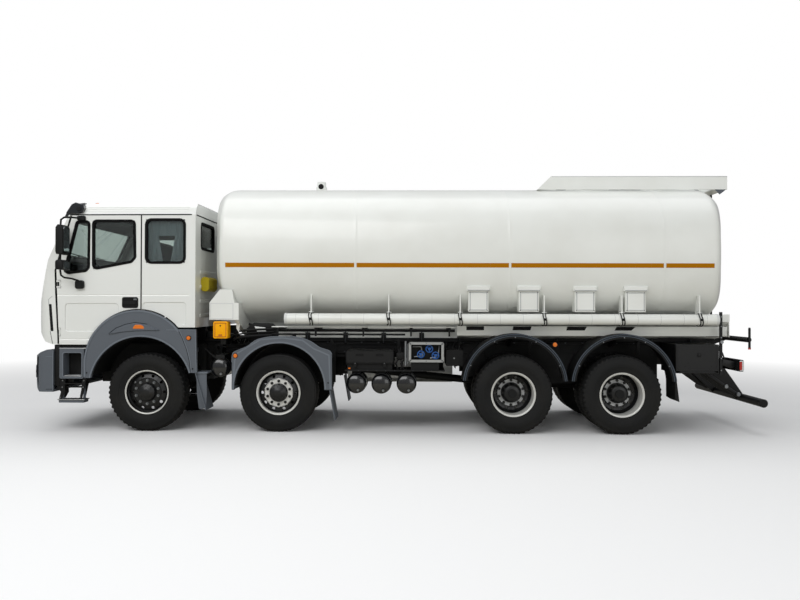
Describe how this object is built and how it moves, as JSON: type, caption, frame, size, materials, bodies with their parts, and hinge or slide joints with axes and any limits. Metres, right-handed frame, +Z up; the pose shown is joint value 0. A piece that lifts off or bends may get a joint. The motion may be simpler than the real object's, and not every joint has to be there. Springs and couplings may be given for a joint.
{
  "type": "tanker truck",
  "caption": "Rigid cab-over tanker truck with twin steered front axles, twin driven rear axles and a long oval tank with hose tubes, coaming and manholes.",
  "frame": {"origin": "on the ground, under the middle of the truck's bounding box", "axes": "-X forward, along the truck; +Y to the truck's right side; +Z up"},
  "size_m": [9.895, 3.04, 3.5828],
  "materials": {
    "frame_grey": "satin dark grey chassis paint",
    "axle_black": "satin black chassis paint over steel",
    "engine_cast": "painted casting",
    "white_paint": "gloss white paint",
    "white_tube": "white paint, slightly dulled",
    "slate_plastic": "grained slate grey plastic",
    "dark_plastic": "black plastic",
    "lamp_lens": "clear and red lamp lenses",
    "chock_yellow": "orange yellow plastic",
    "fuel_alloy": "brushed aluminium",
    "lid_alloy": "satin aluminium",
    "box_black": "black paint",
    "cab_white": "gloss white paint",
    "cab_glass": "green tinted glass",
    "visor_plastic": "smoked plastic",
    "olive_plastic": "olive plastic",
    "trim_grey": "grey trim and cloth",
    "tyre_rubber": "black rubber",
    "wheel_silver": "silver wheel paint",
    "wheel_black": "dark wheel paint",
    "wheel_white": "off-white wheel paint"
  },
  "bodies": {
    "chassis": {"chassis_frame": "frame_grey", "axle_beams": "axle_black", "leaf_springs": "axle_black", "engine": "engine_cast", "tank_shell": "white_paint", "tank_subframe": "white_paint", "hose_tubes": "white_tube", "tube_brackets": "white_paint", "tank_fittings": "white_paint", "bumper": "slate_plastic", "lamps": "lamp_lens", "entry_steps": "slate_plastic", "mudguards_front": "slate_plastic", "mudguards_rear": "dark_plastic", "side_boxes": "dark_plastic", "air_tanks": "frame_grey", "chock_boxes": "chock_yellow", "fuel_tank": "fuel_alloy", "toolboxes": "box_black", "rear_guard": "frame_grey"},
    "cab": {"cab_front": "cab_white", "cab_roof": "cab_white", "cab_back": "cab_white", "cab_sides": "cab_white", "cab_floor": "cab_white", "cab_glass": "cab_glass", "sun_visor": "visor_plastic", "reservoir": "olive_plastic", "cab_interior": "trim_grey", "cab_grille": "dark_plastic"},
    "door_left": {"door_left": "cab_white", "door_glass_left": "cab_glass", "mirrors_left": "dark_plastic"},
    "door_right": {"door_right": "cab_white", "door_glass_right": "cab_glass", "mirrors_right": "dark_plastic"},
    "knuckle_1_left": {"knuckle_1_left": "axle_black"},
    "wheel_1_left": {"tyre_1_left": "tyre_rubber", "rim_1_left": "wheel_black"},
    "knuckle_1_right": {"knuckle_1_right": "axle_black"},
    "wheel_1_right": {"tyre_1_right": "tyre_rubber", "rim_1_right": "wheel_black"},
    "knuckle_2_left": {"knuckle_2_left": "axle_black"},
    "wheel_2_left": {"tyre_2_left": "tyre_rubber", "rim_2_left": "wheel_silver"},
    "knuckle_2_right": {"knuckle_2_right": "axle_black"},
    "wheel_2_right": {"tyre_2_right": "tyre_rubber", "rim_2_right": "wheel_silver"},
    "wheel_3_left": {"tyres_3_left": "tyre_rubber", "rims_3_left": "wheel_white"},
    "wheel_3_right": {"tyres_3_right": "tyre_rubber", "rims_3_right": "wheel_white"},
    "wheel_4_left": {"tyres_4_left": "tyre_rubber", "rims_4_left": "wheel_white"},
    "wheel_4_right": {"tyres_4_right": "tyre_rubber", "rims_4_right": "wheel_white"},
    "manhole_lid_front": {"manhole_lid_front": "lid_alloy"},
    "manhole_lid_rear": {"manhole_lid_rear": "lid_alloy"},
    "toolbox_door_left": {"toolbox_door_left": "box_black"},
    "toolbox_door_right": {"toolbox_door_right": "box_black"}
  },
  "joints": [
    {"name": "cab_tilt", "type": "hinge", "parent": "chassis", "child": "cab", "pos_m": [-4.6975, 0, 1.06], "axis": [0, -1, 0], "range_deg": [0, 55]},
    {"name": "door_left_hinge", "type": "hinge", "parent": "cab", "child": "door_left", "pos_m": [-4.5825, -1.22, 1.9], "axis": [0, 0, -1], "range_deg": [0, 70]},
    {"name": "door_right_hinge", "type": "hinge", "parent": "cab", "child": "door_right", "pos_m": [-4.5825, 1.22, 1.9], "axis": [0, 0, 1], "range_deg": [0, 70]},
    {"name": "steer_1_left", "type": "hinge", "parent": "chassis", "child": "knuckle_1_left", "pos_m": [-3.4175, -0.92, 0.53], "axis": [0, 0, 1], "range_deg": [-38, 38]},
    {"name": "spin_1_left", "type": "hinge", "parent": "knuckle_1_left", "child": "wheel_1_left", "pos_m": [-3.4175, -1.02, 0.53], "axis": [0, 1, 0], "continuous": true},
    {"name": "steer_1_right", "type": "hinge", "parent": "chassis", "child": "knuckle_1_right", "pos_m": [-3.4175, 0.92, 0.53], "axis": [0, 0, 1], "range_deg": [-38, 38]},
    {"name": "spin_1_right", "type": "hinge", "parent": "knuckle_1_right", "child": "wheel_1_right", "pos_m": [-3.4175, 1.02, 0.53], "axis": [0, 1, 0], "continuous": true},
    {"name": "steer_2_left", "type": "hinge", "parent": "chassis", "child": "knuckle_2_left", "pos_m": [-1.6175, -0.92, 0.53], "axis": [0, 0, 1], "range_deg": [-27, 27]},
    {"name": "spin_2_left", "type": "hinge", "parent": "knuckle_2_left", "child": "wheel_2_left", "pos_m": [-1.6175, -1.02, 0.53], "axis": [0, 1, 0], "continuous": true},
    {"name": "steer_2_right", "type": "hinge", "parent": "chassis", "child": "knuckle_2_right", "pos_m": [-1.6175, 0.92, 0.53], "axis": [0, 0, 1], "range_deg": [-27, 27]},
    {"name": "spin_2_right", "type": "hinge", "parent": "knuckle_2_right", "child": "wheel_2_right", "pos_m": [-1.6175, 1.02, 0.53], "axis": [0, 1, 0], "continuous": true},
    {"name": "spin_3_left", "type": "hinge", "parent": "chassis", "child": "wheel_3_left", "pos_m": [1.5575, -0.92, 0.53], "axis": [0, 1, 0], "continuous": true},
    {"name": "spin_3_right", "type": "hinge", "parent": "chassis", "child": "wheel_3_right", "pos_m": [1.5575, 0.92, 0.53], "axis": [0, 1, 0], "continuous": true},
    {"name": "spin_4_left", "type": "hinge", "parent": "chassis", "child": "wheel_4_left", "pos_m": [3.0075, -0.92, 0.53], "axis": [0, 1, 0], "continuous": true},
    {"name": "spin_4_right", "type": "hinge", "parent": "chassis", "child": "wheel_4_right", "pos_m": [3.0075, 0.92, 0.53], "axis": [0, 1, 0], "continuous": true},
    {"name": "lid_front_hinge", "type": "hinge", "parent": "chassis", "child": "manhole_lid_front", "pos_m": [3.1075, 0, 3.51], "axis": [0, 1, 0], "range_deg": [0, 100]},
    {"name": "lid_rear_hinge", "type": "hinge", "parent": "chassis", "child": "manhole_lid_rear", "pos_m": [4.1075, 0, 3.51], "axis": [0, 1, 0], "range_deg": [0, 100]},
    {"name": "toolbox_left_hinge", "type": "hinge", "parent": "chassis", "child": "toolbox_door_left", "pos_m": [4.04, -1.119, 0.828], "axis": [1, 0, 0], "range_deg": [0, 90]},
    {"name": "toolbox_right_hinge", "type": "hinge", "parent": "chassis", "child": "toolbox_door_right", "pos_m": [4.04, 1.119, 0.828], "axis": [-1, 0, 0], "range_deg": [0, 90]}
  ],
  "couplings": [
    {"joint": "steer_1_right", "follows": "steer_1_left", "ratio": 1},
    {"joint": "steer_2_left", "follows": "steer_1_left", "ratio": 0.7},
    {"joint": "steer_2_right", "follows": "steer_1_left", "ratio": 0.7}
  ]
}
